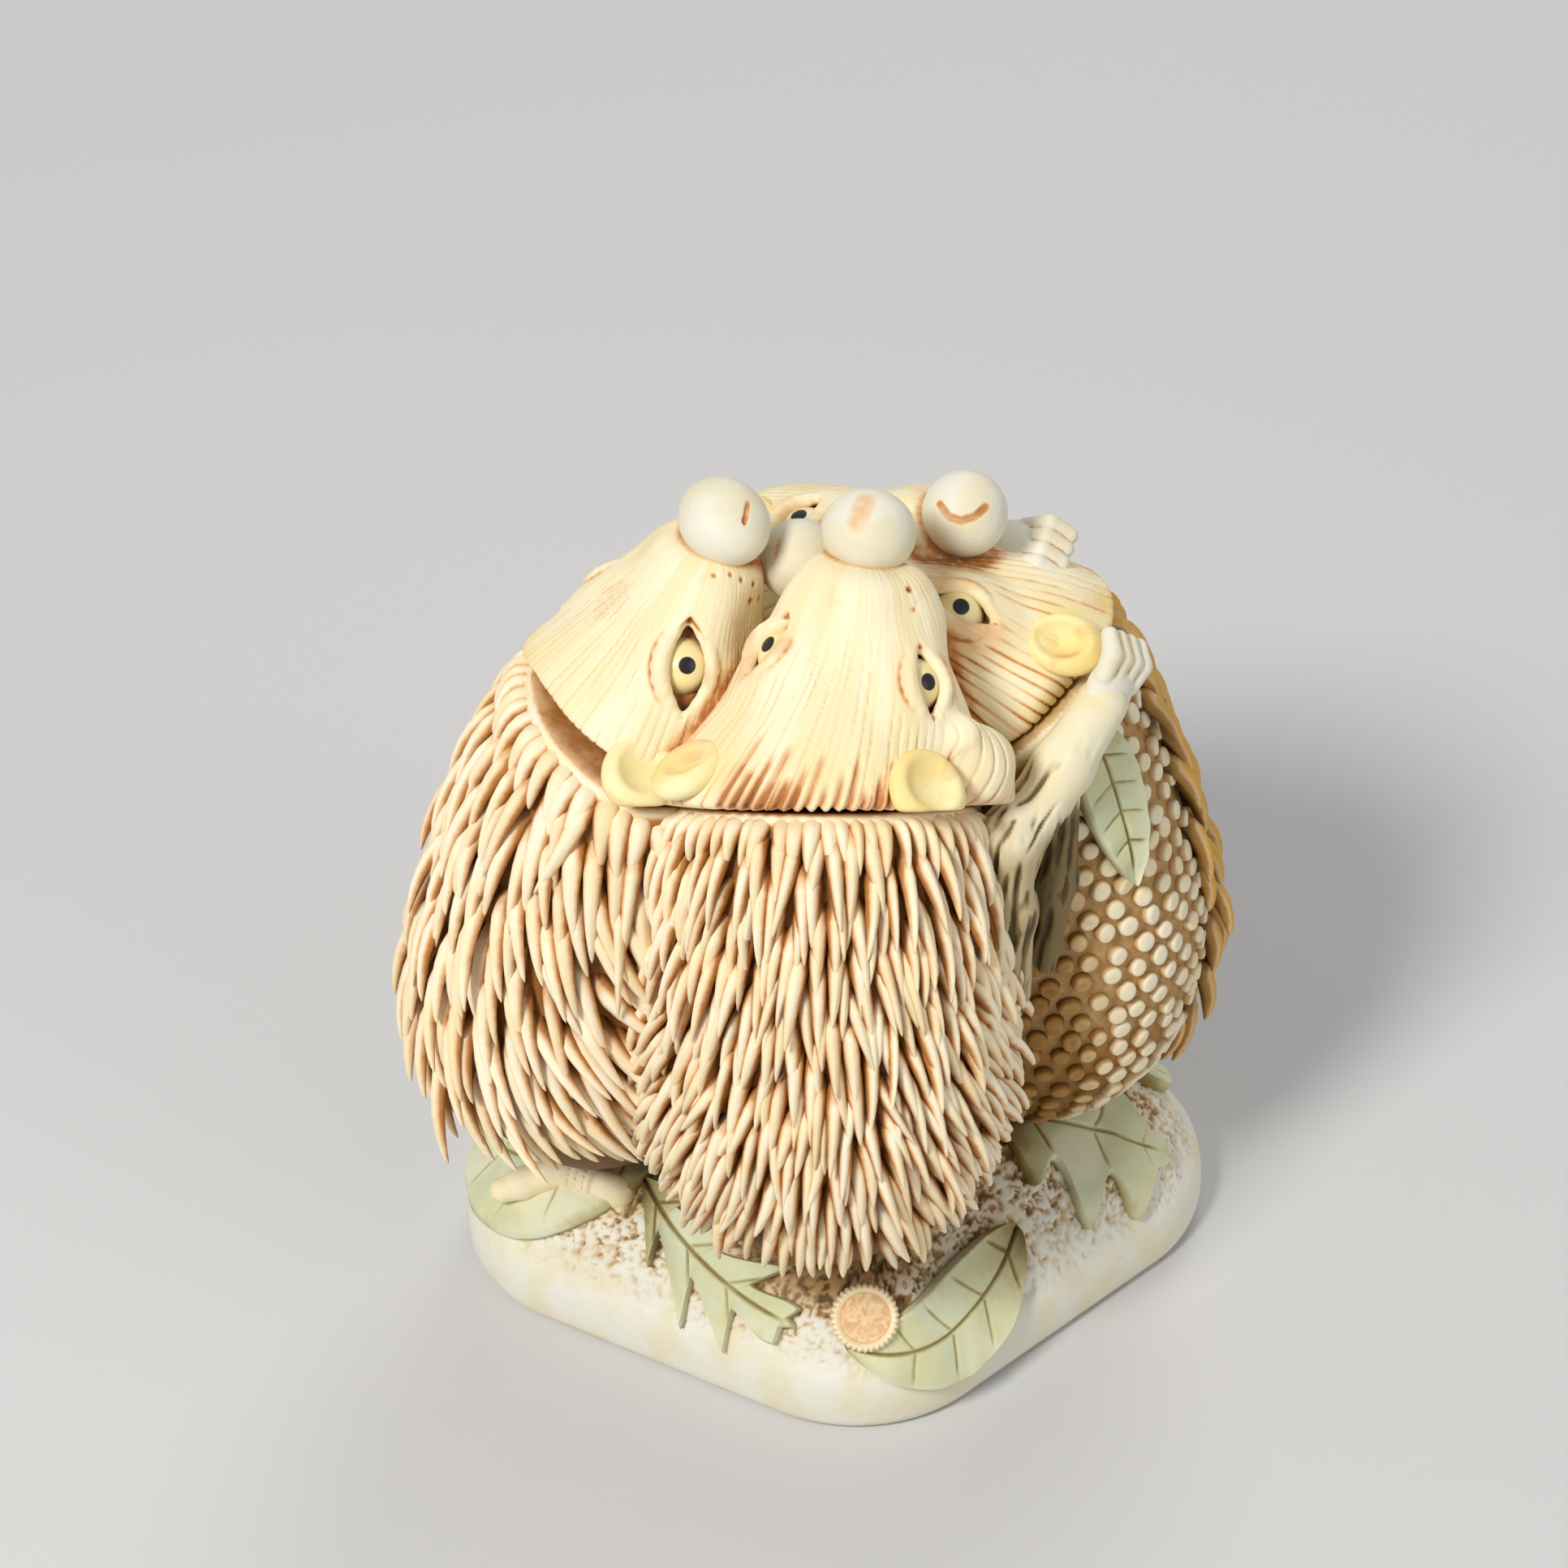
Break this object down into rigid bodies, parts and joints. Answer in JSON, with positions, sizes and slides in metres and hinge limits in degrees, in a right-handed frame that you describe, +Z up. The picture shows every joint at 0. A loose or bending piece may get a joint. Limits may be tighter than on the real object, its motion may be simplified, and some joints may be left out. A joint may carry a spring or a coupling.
{
  "type": "hedgehog trinket box",
  "caption": "Lidded cast-resin trinket box of hedgehogs huddled upright on a leafy mound; their heads lift off as the lid of a keepsake hollow.",
  "frame": {"origin": "middle of the huddle on the flat underside", "axes": "+Z up, the front hedgehog's back faces -Y, +X is on the right of somebody who looks at it"},
  "size_m": [0.0637, 0.0546, 0.0749],
  "materials": {
    "quill_resin": "matt cast resin with an orange-brown wash in the recesses and bare ivory tips",
    "face_resin": "matt ivory cast resin with a light brown wash",
    "mound_resin": "matt ivory cast resin, pitted, brown in the pits",
    "bare_resin": "plain matt ivory cast resin",
    "leaf_tint": "matt, thin sage-green tint",
    "ear_tint": "matt, thin yellow tint",
    "eye_tint": "satin, yellow iris with a black pupil",
    "litter_resin": "matt ivory cast resin with a brown wash"
  },
  "bodies": {
    "box": {"base_mound": "mound_resin", "box_core": "bare_resin", "body_front": "quill_resin", "body_right": "quill_resin", "body_back": "quill_resin", "body_left": "quill_resin", "arm_front": "face_resin", "paw_front": "face_resin", "leaf_wide": "leaf_tint", "leaf_pointed": "leaf_tint", "leaf_toothed": "leaf_tint", "leaf_lobed": "leaf_tint", "leaf_small": "leaf_tint", "leaf_shoulder": "leaf_tint", "crown_cap": "litter_resin", "cigarette_end": "litter_resin"},
    "lid": {"lid_plate": "bare_resin", "lid_plug": "bare_resin", "head_front": "face_resin", "nose_front": "face_resin", "eyes_front": "eye_tint", "ears_front": "ear_tint", "head_right": "face_resin", "nose_right": "face_resin", "eyes_right": "eye_tint", "ears_right": "ear_tint", "head_back": "face_resin", "nose_back": "face_resin", "eyes_back": "eye_tint", "ears_back": "ear_tint", "head_left": "face_resin", "nose_left": "face_resin", "eyes_left": "eye_tint", "ears_left": "ear_tint", "paw_back": "face_resin"}
  },
  "joints": [
    {"name": "lid_lift", "type": "slide", "parent": "box", "child": "lid", "axis": [0, 0, 1], "range_m": [0, 0.03]}
  ]
}
